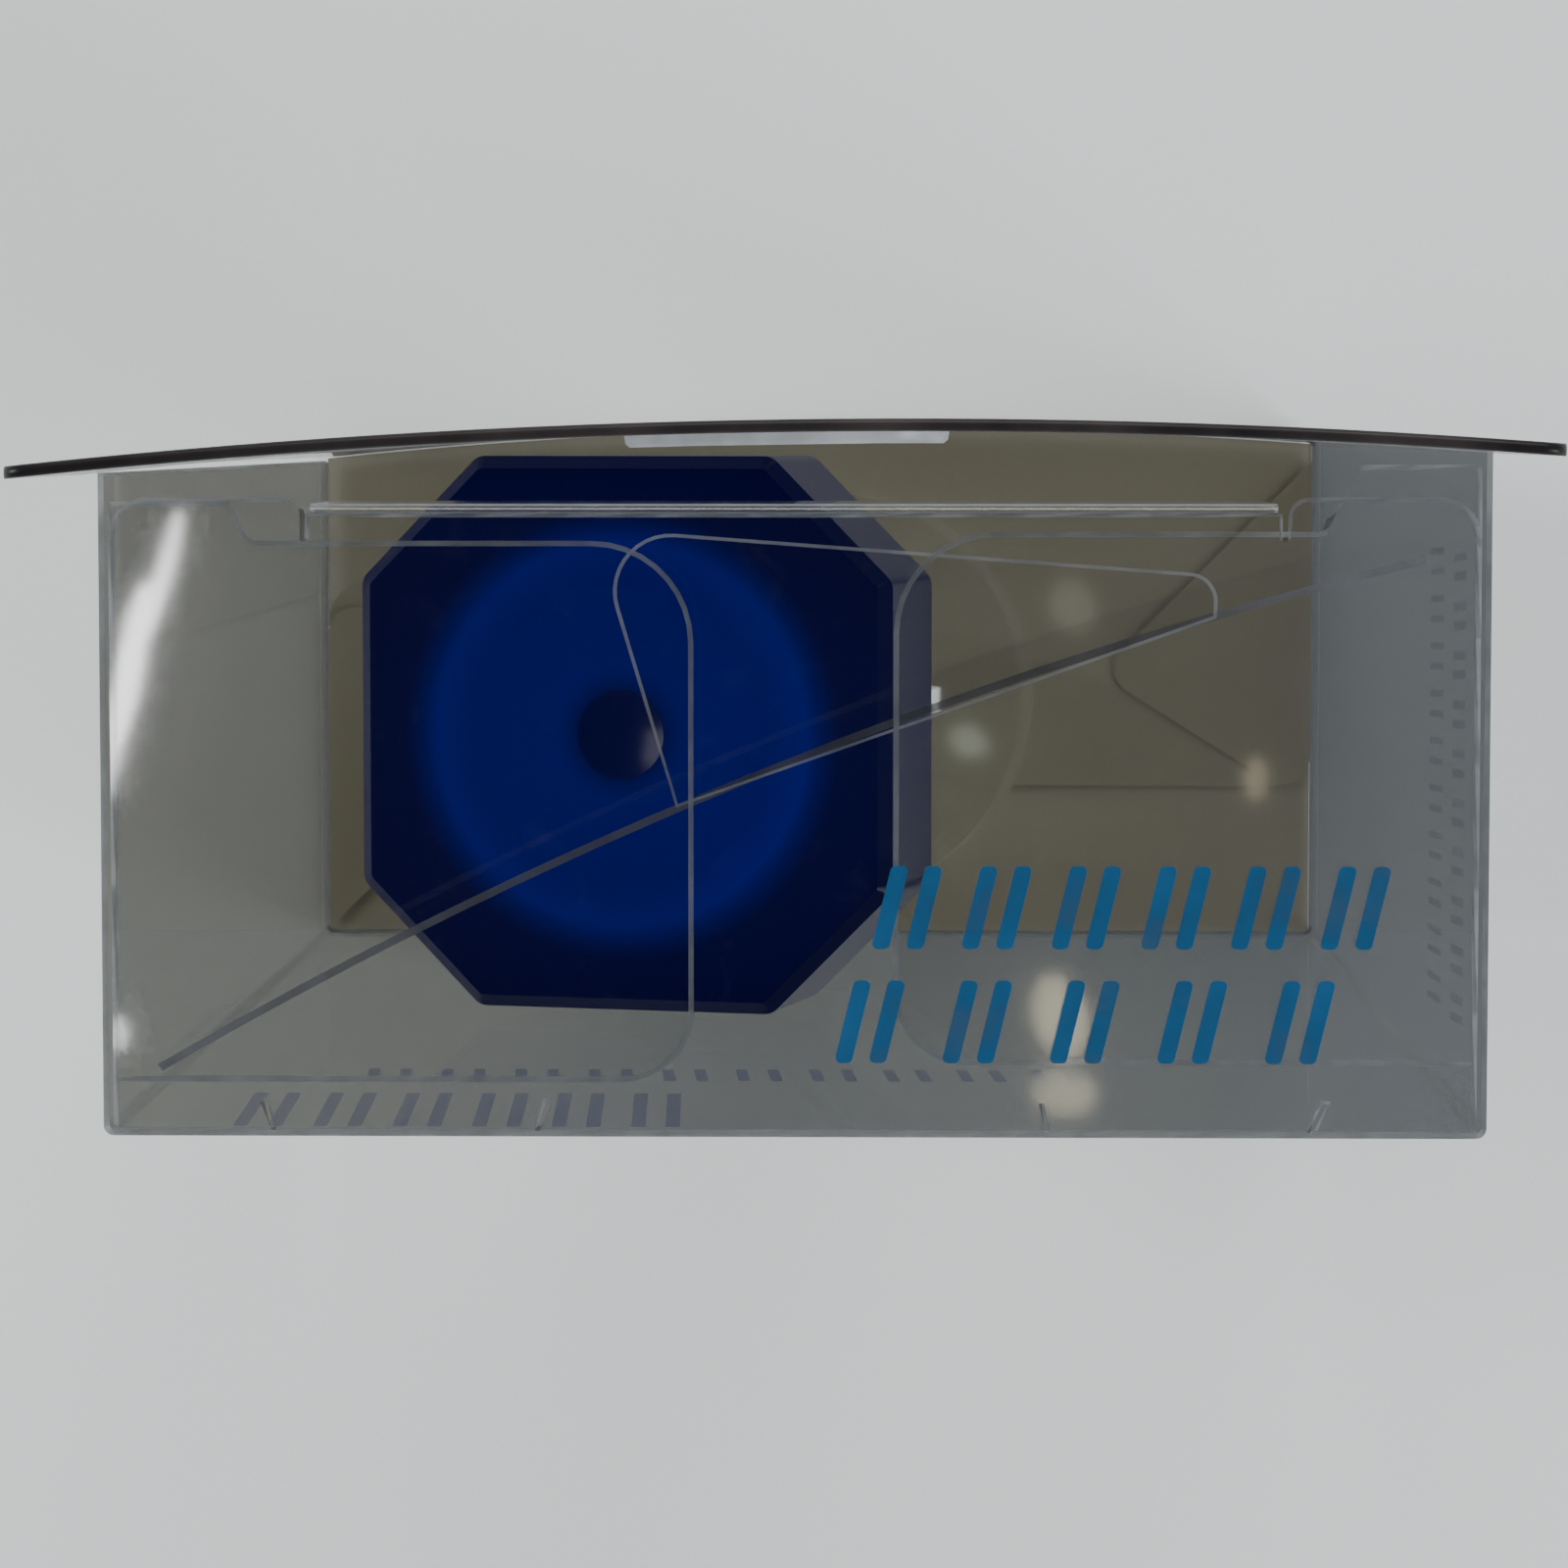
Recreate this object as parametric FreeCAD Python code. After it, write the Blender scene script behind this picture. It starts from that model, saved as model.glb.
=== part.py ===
"""Hard contact lens case in its clear hanging carton, in millimetres.

The carton is one creased clear plastic sheet: four walls, a doubled hanging header, a tuck-in lid with two
dust flaps, and an auto-lock base. A bent clear spacer stands across the carton above the case. The case is a
clear vial with a blue eight-sided screw cap, and the cap carries a holder with a left and a right lens basket.

Frame: origin at the centre of the carton's footprint, on its underside. +X to the right, +Y to the back wall
and header, +Z up. The lens case has a local frame of its own, origin at the centre of the vial's underside and
+Z along the vial, and place_case() carries it into the carton, where it leans a little to the left.
"""

import FreeCAD
import Part
import math
import os

from FreeCAD import Rotation, Vector

# ---- carton ----
SHEET = 0.3                 # thickness of the clear sheet
CARTON_W = 75.0             # outside width
CARTON_H = 110.0            # height of the walls
HEADER_H = 30.0             # header above the walls
FRONT_Y = -19.4             # outside of the front wall
BACK_TOP_Y = 19.4           # outside of the bowed back wall where it stands furthest back
BACK_TOP_X = 6.0
BOW_R = 411.0
HEADER_CORNER_R = 1.2
LINER_LOW = CARTON_H + 6.0  # where the header's front layer starts
GLUE_TAB_W = 10.0
SLOT_W = 15.0               # hanging slot
SLOT_H = 6.0
SLOT_Z = CARTON_H + 19.0
SLOT_RIM = 0.6              # raised rim that the punch leaves round the slot

HALF_W = CARTON_W / 2
BACK_LEFT_Y = BACK_TOP_Y - BOW_R + math.sqrt(BOW_R**2 - (HALF_W + BACK_TOP_X)**2)
BACK_RIGHT_Y = BACK_TOP_Y - BOW_R + math.sqrt(BOW_R**2 - (HALF_W - BACK_TOP_X)**2)
INNER_X = HALF_W - SHEET
INNER_FRONT_Y = FRONT_Y + SHEET
HEADER_TOP = CARTON_H + HEADER_H

# ---- lid and flaps ----
LID_Z = CARTON_H + 0.05     # underside of the lid
LID_HALF_W = 36.9
LID_HINGE_Y = FRONT_Y + SHEET / 2
LID_FOLD_Y = 14.4           # back edge of the lid, where its tuck flap folds down
LID_SHOULDER_Y = 15.25      # back edge of the two shoulders outside the lock slits
LOCK_SLIT_X = 26.4
LOCK_SLIT_Y = 12.9
LOCK_SLIT_W = 0.3
CREASE_SLITS = ((-28.9, -28.3), (-13.4, -14.0), (13.3, 13.6), (28.6, 27.8))  # x at the far and near end
CREASE_SLIT_Y = -17.5
TUCK_HALF_W = 26.0
TUCK_LEN = 12.0
TUCK_Y = LID_FOLD_Y + 0.2
DUST_TOP_Z = CARTON_H - 0.4
DUST_HINGE_X = 37.0
DUST_FREE_X = 5.4
DUST_FRONT_Y = {-1: -16.5, 1: -15.5}
DUST_BACK_Y = {-1: 12.9, 1: 13.4}
DUST_SHOULDER_Y = {-1: 15.0, 1: 17.0}   # the shoulder that the lid's lock slit catches
DUST_SHOULDER_X = 30.4
DUST_STEP = {-1: 0.9, 1: 1.7}           # how far the shoulder slopes back towards the free edge

# ---- spacer ----
SPACER_LOW = 70.0
SPACER_TOP = 103.0
SPACER_PATH = ((-36.6, -17.2), (-6.6, -2.0), (36.0, 12.1))   # start, a point on the way, end
TAB_LEFT = (-11.3, 13.5)
TAB_RIGHT = (23.4, 10.9)
TAB_FOLD_LEFT = (-6.6, -2.0)
TAB_FOLD_RIGHT = (23.2, 8.5)

# ---- lens case, in its own frame ----
CASE_H = 55.0
CASE_LEAN = 14.5            # degrees, towards the left wall
CAP_TOP_AT = (-12.05, -0.7)  # x and y of the cap's top centre in the carton
CASE_REST_Z = 1.0           # the vial's lowest edge stands on the base panels
CAP_ACROSS = 35.8           # across the flats
CAP_CHAMFER = 8.0
CAP_H = 11.0
CAP_TOP_T = 1.8
CAP_BORE_R = 14.15
DIMPLE_R = 2.9              # shallow dimple in the middle of the cap's top
DIMPLE_DEPTH = 0.5
VIAL_R = 15.0
VIAL_WALL = 1.6
VIAL_FLOOR = 2.0
NECK_R = 13.0
NECK_BORE_R = 11.6
NECK_LOW = 43.0
NECK_TOP = 52.4
PITCH = 3.0
THREAD_DEPTH = 0.85
THREAD_TURNS = 1.5
THREAD_LOW = 46.5           # where the neck's thread starts
THREAD_ROOT = 1.2
THREAD_CREST = 0.6
SOCKET_R = 4.4
SOCKET_BORE_R = 2.85
SOCKET_LIP_R = 2.3
SOCKET_LOW = 49.0
STEM_R = 2.1
HEAD_R = 2.75
HOLDER_LOW = 6.0
PLATE_T = 1.6
PLATE_HALF_W = 9.4
BASKET_Z = 27.0
BASKET_R = 8.6
BASKET_WALL = 0.9
BASKET_RISE = 4.6           # how far the basket's dome stands out from the plate's middle
HINGE_Z = 16.0
HINGE_Y = 2.6
BARREL_R = 1.4
TRUNNION_R = 0.75
EAR_HOLE_R = 0.83
EAR_X = 5.6
EAR_T = 1.6

CASE_INNER_TOP = CASE_H - CAP_TOP_T


# ---- shared shapes ----
def block(x0, x1, y0, y1, z0, z1):
    return Part.makeBox(x1 - x0, y1 - y0, z1 - z0, Vector(x0, y0, z0))


def rod(radius, z0, z1, x=0.0, y=0.0):
    return Part.makeCylinder(radius, z1 - z0, Vector(x, y, z0))


def cross_rod(radius, x0, x1, y, z):
    return Part.makeCylinder(radius, x1 - x0, Vector(x0, y, z), Vector(1, 0, 0))


def tube(outer, inner, z0, z1):
    return rod(outer, z0, z1).cut(rod(inner, z0 - 1, z1 + 1))


def rounded_face(corners):
    """A face in the XY plane from (x, y, radius) corners."""
    count = len(corners)
    stops = []
    for i, (x, y, radius) in enumerate(corners):
        here = Vector(x, y, 0)
        before = (Vector(*corners[i - 1][:2], 0) - here).normalize()
        after = (Vector(*corners[(i + 1) % count][:2], 0) - here).normalize()
        half = before.getAngle(after) / 2
        reach = radius / math.tan(half)
        middle = (before + after).normalize()
        nearest = here + middle * (radius / math.sin(half) - radius)
        stops.append((here + before * reach, nearest, here + after * reach, radius))
    edges = []
    for i, (start, middle, end, radius) in enumerate(stops):
        if radius > 0:
            edges.append(Part.Arc(start, middle, end).toShape())
        following = stops[(i + 1) % count][0]
        if (following - end).Length > 1e-6:
            edges.append(Part.makeLine(end, following))
    return Part.Face(Part.Wire(edges))


def plate(corners, z0, z1):
    face = rounded_face(corners)
    face.translate(Vector(0, 0, z0))
    return face.extrude(Vector(0, 0, z1 - z0))


def mirrored(corners):
    return [(-x, y, radius) for x, y, radius in reversed(corners)]


def chamfered_square(across, chamfer, z0, z1):
    half = across / 2
    near = half - chamfer
    corners = [(half, -near), (half, near), (near, half), (-near, half),
               (-half, near), (-half, -near), (-near, -half), (near, -half)]
    return plate([(x, y, 1.2) for x, y in corners], z0, z1)


def bowed_band(inset, thickness, z0, z1, half_w=HALF_W):
    """A slice of the bowed back wall: its outer face lies inset in front of the wall's own outer face."""
    centre_y = BACK_TOP_Y - BOW_R
    outer = rod(BOW_R - inset, z0, z1, BACK_TOP_X, centre_y)
    inner = rod(BOW_R - inset - thickness, z0 - 1, z1 + 1, BACK_TOP_X, centre_y)
    window = block(-half_w, half_w, BACK_LEFT_Y - 2.5, BACK_TOP_Y + 1, z0, z1)
    return outer.cut(inner).common(window)


# ---- carton ----
def front_panel():
    return block(-HALF_W, HALF_W, FRONT_Y, INNER_FRONT_Y, 0, CARTON_H)


def side_panel(side):
    outer, inner = side * HALF_W, side * INNER_X
    wall = block(min(outer, inner), max(outer, inner), INNER_FRONT_Y, BACK_RIGHT_Y, 0, CARTON_H)
    return wall.cut(bowed_band(-3.0, SHEET + 3.0, -1, CARTON_H + 1, HALF_W + 1))


def hang_slot(extra=0.0):
    width, height = SLOT_W + 2 * extra, SLOT_H + 2 * extra
    middle = block(-(width - height) / 2, (width - height) / 2, 0, 40, SLOT_Z - height / 2, SLOT_Z + height / 2)
    for side in (-1, 1):
        middle = middle.fuse(
            Part.makeCylinder(height / 2, 40, Vector(side * (width - height) / 2, 0, SLOT_Z), Vector(0, 1, 0)))
    return middle


def header_outline(top):
    """What is left of the header inside its two rounded top corners."""
    low, half = CARTON_H - 1.0, HALF_W
    flat = rounded_face([(-half, low, 0), (half, low, 0), (half, top, HEADER_CORNER_R), (-half, top, HEADER_CORNER_R)])
    flat.rotate(Vector(0, 0, 0), Vector(1, 0, 0), 90)
    return flat.extrude(Vector(0, -40, 0)).fuse(flat.extrude(Vector(0, 40, 0)))


def back_panel():
    wall = bowed_band(0, SHEET, 0, CARTON_H)
    header = bowed_band(0, SHEET, CARTON_H, HEADER_TOP - SHEET).common(header_outline(HEADER_TOP - SHEET))
    return wall.fuse(header).removeSplitter().cut(hang_slot())


def header_liner():
    """The header's front layer, folded over its top edge and bonded to it, with the rim round the slot."""
    layer = bowed_band(SHEET, SHEET, LINER_LOW, HEADER_TOP - SHEET)
    fold = bowed_band(0, 2 * SHEET, HEADER_TOP - SHEET, HEADER_TOP, HALF_W - HEADER_CORNER_R)
    rim = bowed_band(2 * SHEET, SLOT_RIM, LINER_LOW, HEADER_TOP - SHEET).common(hang_slot(SLOT_RIM))
    folded = layer.common(header_outline(HEADER_TOP - SHEET)).fuse(rim).fuse(fold)
    return folded.removeSplitter().cut(hang_slot())


def glue_tab():
    """The seam: the back wall's edge folded forward and glued inside the left wall."""
    back = BACK_LEFT_Y - 2 * SHEET
    return block(-INNER_X, -INNER_X + SHEET, back - GLUE_TAB_W, back, 1.5, CARTON_H - 4)


# ---- lid, tuck flap and dust flaps ----
def lid_panel():
    half, slit = LID_HALF_W, LOCK_SLIT_X
    slit_out, slit_in = slit + LOCK_SLIT_W / 2, slit - LOCK_SLIT_W / 2
    right = [(half, LID_HINGE_Y, 0), (half, LID_SHOULDER_Y, 2.2), (slit_out, LID_SHOULDER_Y, 1.1),
             (slit_out, LOCK_SLIT_Y, 0), (slit_in, LOCK_SLIT_Y, 0), (slit_in, LID_FOLD_Y, 0)]
    lid = plate(right + mirrored(right), LID_Z, LID_Z + SHEET)
    for far_x, near_x in CREASE_SLITS:
        near_y = LID_HINGE_Y - 0.5
        width = 0.2
        slit_corners = [(near_x, near_y, 0), (near_x + width, near_y, 0),
                        (far_x + width, CREASE_SLIT_Y, 0), (far_x, CREASE_SLIT_Y, 0)]
        lid = lid.cut(plate(slit_corners, LID_Z - 1, LID_Z + 1))
    return lid


def lid_tuck_flap():
    top = LID_Z + SHEET
    low = top - TUCK_LEN
    flat = rounded_face([(-TUCK_HALF_W, low, 4.0), (TUCK_HALF_W, low, 4.0),
                         (TUCK_HALF_W, top, 0), (-TUCK_HALF_W, top, 0)])
    flat.rotate(Vector(0, 0, 0), Vector(1, 0, 0), 90)
    flat.translate(Vector(0, TUCK_Y + SHEET, 0))
    return flat.extrude(Vector(0, -SHEET, 0))


def dust_flap(side):
    front, back, shoulder = DUST_FRONT_Y[side], DUST_BACK_Y[side], DUST_SHOULDER_Y[side]
    right = [(DUST_HINGE_X, front, 0), (DUST_HINGE_X, shoulder, 0), (DUST_SHOULDER_X, shoulder, 0.4),
             (DUST_SHOULDER_X - DUST_STEP[side], back, 0.9), (DUST_FREE_X, back, 5.5), (DUST_FREE_X, front, 4.0)]
    corners = right if side > 0 else mirrored(right)
    return plate(corners, DUST_TOP_Z - SHEET, DUST_TOP_Z)


# ---- auto-lock base ----
BASE_HALF_W = INNER_X - 0.05
BASE_BACK_Y = BACK_LEFT_Y - SHEET - 0.1


def base_front_panel():
    """Outermost layer, hinged to the front wall. Its slanting edge locks over the back panel's."""
    return plate([(-BASE_HALF_W, INNER_FRONT_Y, 0), (BASE_HALF_W, INNER_FRONT_Y, 0), (BASE_HALF_W, -4.5, 0),
                  (12.0, 2.5, 3.0), (-12.0, 7.5, 4.0), (-BASE_HALF_W, 7.5, 3.0)], 0, SHEET)


def base_back_panel():
    """Inner layer, hinged to the back wall and cut to its bow."""
    panel = plate([(BASE_HALF_W, BACK_TOP_Y, 0), (-BASE_HALF_W, BACK_TOP_Y, 0), (-BASE_HALF_W, 4.0, 0),
                   (-12.0, -3.0, 3.0), (12.0, -8.0, 4.0), (BASE_HALF_W, -8.0, 3.0)], SHEET, 2 * SHEET)
    return panel.cut(bowed_band(-3.0, SHEET + 3.1, -1, 2, HALF_W + 1))


def base_side_flap(side):
    """Glued corner flap, folded at 45 degrees to the panel below it."""
    end = -side
    front = INNER_FRONT_Y + 0.2 if side < 0 else BASE_BACK_Y - 0.2
    reach = 16.0 * end
    corners = [(side * BASE_HALF_W, front, 0), (side * BASE_HALF_W + reach, front - side * 16.0, 2.0),
               (side * BASE_HALF_W, front - side * 26.0, 2.0)]
    return plate(corners, 2 * SHEET, 3 * SHEET)


# ---- spacer ----
def spacer_circle():
    """Centre and radius of the plan-view arc that the spacer's sheet takes."""
    circle = Part.Arc(*(Vector(x, y, 0) for x, y in SPACER_PATH)).toShape().Curve
    return circle.Center, circle.Radius


def spacer_wall():
    """The sheet on edge, bowed from the front left corner to the back right one."""
    centre, radius = spacer_circle()
    bands = []
    for r in (radius + SHEET / 2, radius - SHEET / 2):
        points = []
        for x, y in SPACER_PATH:
            direction = (Vector(x, y, 0) - centre).normalize()
            points.append(centre + direction * r)
        bands.append(points)
    outer, inner = bands
    edges = [Part.Arc(*outer).toShape(), Part.makeLine(outer[2], inner[2]),
             Part.Arc(*reversed(inner)).toShape(), Part.makeLine(inner[0], outer[0])]
    face = Part.Face(Part.Wire(edges))
    face.translate(Vector(0, 0, SPACER_LOW))
    return face.extrude(Vector(0, 0, SPACER_TOP - SPACER_LOW))


def spacer_tab():
    """The tongue at the sheet's top, folded flat towards the back wall."""
    return plate([(*TAB_FOLD_LEFT, 0), (*TAB_FOLD_RIGHT, 0), (*TAB_RIGHT, 1.6), (*TAB_LEFT, 3.2)],
                 SPACER_TOP, SPACER_TOP + SHEET)


# ---- lens case, each piece in the case's own frame ----
def place_case(shape):
    """From the case's own frame to its place in the carton."""
    lean = Rotation(Vector(0, 1, 0), -CASE_LEAN)
    axis = lean.multVec(Vector(0, 0, 1))
    foot_z = CASE_REST_Z + VIAL_R * math.sin(math.radians(CASE_LEAN))
    foot = Vector(CAP_TOP_AT[0] - axis.x * CASE_H, CAP_TOP_AT[1], foot_z)
    moved = shape.copy()
    moved.Placement = FreeCAD.Placement(foot, lean)
    return moved


def thread(root_r, crest_r, low):
    """A right-hand ridge standing from root_r out or in to crest_r, its middle starting at height low."""
    sink = 0.3
    half_crest = THREAD_CREST / 2
    half_sunk = THREAD_ROOT / 2 + (THREAD_ROOT / 2 - half_crest) * sink / THREAD_DEPTH
    sunk_r = root_r - sink if crest_r > root_r else root_r + sink
    section = [Vector(sunk_r, 0, -half_sunk), Vector(crest_r, 0, -half_crest),
               Vector(crest_r, 0, half_crest), Vector(sunk_r, 0, half_sunk)]
    if crest_r < root_r:
        section.reverse()
    helix = Part.makeHelix(PITCH, PITCH * THREAD_TURNS, root_r)
    ridge = Part.Wire(helix).makePipeShell([Part.makePolygon(section + section[:1])], True, True)
    ridge.translate(Vector(0, 0, low))
    return ridge


def vial():
    body = rod(VIAL_R, 0, NECK_LOW)
    low_edges = [e for e in body.Edges if len(e.Vertexes) == 1]
    body = body.makeFillet(1.2, low_edges)
    neck = rod(NECK_R, NECK_LOW - 1, NECK_TOP)
    inside = rod(VIAL_R - VIAL_WALL, VIAL_FLOOR, NECK_LOW - 3.0)
    shoulder = Part.makeCone(VIAL_R - VIAL_WALL, NECK_BORE_R, 2.0, Vector(0, 0, NECK_LOW - 3.0))
    bore = rod(NECK_BORE_R, NECK_LOW - 2.0, NECK_TOP + 1)
    hollow = inside.fuse(shoulder).fuse(bore)
    ridge = thread(NECK_R, NECK_R + THREAD_DEPTH, THREAD_LOW)
    return body.fuse(neck).fuse(ridge).cut(hollow).removeSplitter()


def cap():
    low = CASE_H - CAP_H
    shell = chamfered_square(CAP_ACROSS, CAP_CHAMFER, low, CASE_H)
    top_edges = [e for e in shell.Edges if e.BoundBox.ZMin > CASE_H - 0.01]
    shell = shell.makeChamfer(0.8, top_edges)
    ball_r = (DIMPLE_R**2 + DIMPLE_DEPTH**2) / (2 * DIMPLE_DEPTH)
    shell = shell.cut(Part.makeSphere(ball_r, Vector(0, 0, CASE_H - DIMPLE_DEPTH + ball_r)))
    bore = rod(CAP_BORE_R, low - 1, CASE_INNER_TOP)
    ridge = thread(CAP_BORE_R, CAP_BORE_R - THREAD_DEPTH, THREAD_LOW - PITCH / 2)
    socket = tube(SOCKET_R, SOCKET_BORE_R, SOCKET_LOW, CASE_INNER_TOP + 0.1)
    lip = tube(SOCKET_BORE_R + 0.1, SOCKET_LIP_R, SOCKET_LOW, SOCKET_LOW + 0.8)
    return shell.cut(bore).fuse(ridge).fuse(socket).fuse(lip).removeSplitter()


def cap_gasket():
    return tube(CAP_BORE_R - 0.05, NECK_BORE_R + 0.2, NECK_TOP + 0.02, CASE_INNER_TOP)


def lens_holder():
    """Stem with a snap head, a splash disc, the middle plate with its two lens seats, and the hinge ears."""
    head = rod(HEAD_R, SOCKET_LOW + 0.9, CASE_INNER_TOP - 0.3)
    stem = rod(STEM_R, 44.0, SOCKET_LOW + 1.0)
    disc = rod(NECK_BORE_R - 0.5, 43.2, 44.4)
    middle = block(-PLATE_HALF_W, PLATE_HALF_W, -PLATE_T / 2, PLATE_T / 2, HOLDER_LOW, 43.3)
    foot = [e for e in middle.Edges if e.BoundBox.ZMax < HOLDER_LOW + 1e-4 and e.BoundBox.XLength < 1e-4]
    holder = head.fuse(stem).fuse(disc).fuse(middle.makeFillet(5.0, foot))
    for side in (-1, 1):
        seat = Part.makeSphere(11.0, Vector(0, side * (2.4 - 11.0), BASKET_Z))
        slab_y = (PLATE_T / 2 - 0.1, 3.0)
        window = block(-8, 8, min(side * y for y in slab_y), max(side * y for y in slab_y), BASKET_Z - 8, BASKET_Z + 8)
        holder = holder.fuse(seat.common(window))
        for ear_side in (-1, 1):
            ear_x = ear_side * EAR_X
            base_y = side * (PLATE_T / 2 - 0.1)
            tip_y = side * HINGE_Y
            ear = block(ear_x - EAR_T / 2, ear_x + EAR_T / 2, min(base_y, tip_y), max(base_y, tip_y),
                        HINGE_Z - 1.6, HINGE_Z + 1.6)
            ear = ear.fuse(cross_rod(1.6, ear_x - EAR_T / 2, ear_x + EAR_T / 2, tip_y, HINGE_Z))
            hole = cross_rod(EAR_HOLE_R, ear_x - EAR_T, ear_x + EAR_T, tip_y, HINGE_Z)
            holder = holder.fuse(ear).cut(hole)
    drain = [Part.makeCylinder(0.9, 10, Vector(4.2 * math.cos(a), -5, BASKET_Z + 4.2 * math.sin(a)), Vector(0, 1, 0))
             for a in (math.radians(60 * k + 30) for k in range(6))]
    for hole in drain:
        holder = holder.cut(hole)
    return holder.cut(block(-3.2, 3.2, -2, 2, 8.5, 13.0)).removeSplitter()


def basket_door(side):
    """A slotted dome on a ring, with a barrel and two trunnions at its foot and a thumb tab at its top."""
    rim_y, rim_top = PLATE_T / 2 + 0.15, 2.2
    ring = Part.makeCylinder(BASKET_R, rim_top - rim_y, Vector(0, rim_y, BASKET_Z), Vector(0, 1, 0))
    ring = ring.cut(Part.makeCylinder(BASKET_R - 1.5, 9, Vector(0, -1, BASKET_Z), Vector(0, 1, 0)))
    rise = BASKET_RISE - rim_top + 0.6
    dome_r = (BASKET_R**2 + rise**2) / (2 * rise)
    centre = Vector(0, BASKET_RISE + 0.6 - dome_r, BASKET_Z)
    shell = Part.makeSphere(dome_r, centre).cut(Part.makeSphere(dome_r - BASKET_WALL, centre))
    shell = shell.common(Part.makeCylinder(BASKET_R, 9, Vector(0, rim_top - 0.1, BASKET_Z), Vector(0, 1, 0)))
    for k in range(8):
        a = math.radians(45 * k)
        hole_at = Vector(4.6 * math.cos(a), 0, BASKET_Z + 4.6 * math.sin(a))
        shell = shell.cut(Part.makeCylinder(1.15, 9, hole_at, Vector(0, 1, 0)))
    shell = shell.cut(Part.makeCylinder(1.3, 9, Vector(0, 0, BASKET_Z), Vector(0, 1, 0)))
    inner_x = EAR_X - EAR_T / 2 - 0.15
    barrel = cross_rod(BARREL_R, -inner_x, inner_x, HINGE_Y, HINGE_Z)
    trunnions = cross_rod(TRUNNION_R, -EAR_X - EAR_T / 2, EAR_X + EAR_T / 2, HINGE_Y, HINGE_Z)
    web = block(-inner_x, inner_x, 1.4, 2.2, HINGE_Z + 0.5, BASKET_Z - BASKET_R + 1.6)
    tab = block(-2.2, 2.2, 1.1, 2.1, BASKET_Z + BASKET_R - 0.5, BASKET_Z + BASKET_R + 1.6)
    door = ring.fuse(shell).fuse(barrel).fuse(trunnions).fuse(web).fuse(tab).removeSplitter()
    return door if side > 0 else door.mirror(Vector(0, 0, 0), Vector(0, 1, 0))


CARTON_PARTS = {
    "front_panel": front_panel(),
    "left_panel": side_panel(-1),
    "right_panel": side_panel(1),
    "back_panel": back_panel(),
    "header_liner": header_liner(),
    "glue_tab": glue_tab(),
    "lid_panel": lid_panel(),
    "lid_tuck_flap": lid_tuck_flap(),
    "dust_flap_left": dust_flap(-1),
    "dust_flap_right": dust_flap(1),
    "base_front_panel": base_front_panel(),
    "base_back_panel": base_back_panel(),
    "base_left_flap": base_side_flap(-1),
    "base_right_flap": base_side_flap(1),
    "spacer_wall": spacer_wall(),
    "spacer_tab": spacer_tab(),
}

CASE_PARTS = {
    "vial": vial(),
    "screw_cap": cap(),
    "cap_gasket": cap_gasket(),
    "lens_holder": lens_holder(),
    "basket_door_left": basket_door(-1),
    "basket_door_right": basket_door(1),
}


def export_all():
    os.makedirs("parts", exist_ok=True)
    shapes = dict(CARTON_PARTS)
    shapes.update({name: place_case(shape) for name, shape in CASE_PARTS.items()})
    for name, shape in shapes.items():
        box = shape.BoundBox
        print(f"{name}: solids {len(shape.Solids)} valid {shape.isValid()} volume {shape.Volume:.1f} mm3,"
              f" z {box.ZMin:.2f} to {box.ZMax:.2f}")
        shape.exportStep(f"parts/{name}.step")


export_all()
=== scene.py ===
import math

import bmesh
import bpy
from mathutils import Matrix, Vector


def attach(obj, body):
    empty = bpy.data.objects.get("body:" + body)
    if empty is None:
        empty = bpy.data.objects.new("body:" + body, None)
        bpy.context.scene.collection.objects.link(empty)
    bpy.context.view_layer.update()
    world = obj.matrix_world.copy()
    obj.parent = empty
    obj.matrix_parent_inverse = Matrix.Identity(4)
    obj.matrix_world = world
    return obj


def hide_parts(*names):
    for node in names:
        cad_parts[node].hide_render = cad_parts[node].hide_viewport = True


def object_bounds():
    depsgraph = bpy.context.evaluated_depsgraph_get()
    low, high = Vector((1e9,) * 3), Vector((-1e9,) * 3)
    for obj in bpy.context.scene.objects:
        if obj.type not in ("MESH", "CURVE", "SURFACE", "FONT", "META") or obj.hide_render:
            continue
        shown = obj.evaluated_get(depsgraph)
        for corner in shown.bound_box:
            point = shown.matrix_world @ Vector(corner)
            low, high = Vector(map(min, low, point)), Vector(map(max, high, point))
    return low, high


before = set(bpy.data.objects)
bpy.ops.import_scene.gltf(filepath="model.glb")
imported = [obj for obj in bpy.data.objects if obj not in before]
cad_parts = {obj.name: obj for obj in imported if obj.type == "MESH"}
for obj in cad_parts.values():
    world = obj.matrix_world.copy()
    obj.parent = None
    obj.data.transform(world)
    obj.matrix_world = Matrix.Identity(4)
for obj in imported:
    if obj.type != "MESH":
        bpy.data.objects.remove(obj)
cad_low, cad_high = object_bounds()

# ---- Camera, table and lights -------------------------------------------------------------------
# The box stands upright on a pale table and is looked at from almost straight above its top end.
# Softboxes stand on three sides of a pale room that is dark straight overhead, where a strip light
# and a few small lamps hang.
mm = 0.001

camera = bpy.data.objects.new("camera", bpy.data.cameras.new("camera"))
bpy.context.collection.objects.link(camera)
camera.data.lens = 114.75   # mm of focal length
camera.data.sensor_width = 36.0
camera.data.clip_start = 0.01
camera.data.clip_end = 20.0
camera.location = Vector((4.75, 18.8, 379.0)) * mm
looked_at = Vector((-0.5, -0.2, 110.0)) * mm
away = (camera.location - looked_at).normalized()
across = Vector((0, 1, 0)).cross(away).normalized()
upright = away.cross(across)
camera.rotation_euler = Matrix((across, upright, away)).transposed().to_euler()
bpy.context.scene.camera = camera

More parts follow.
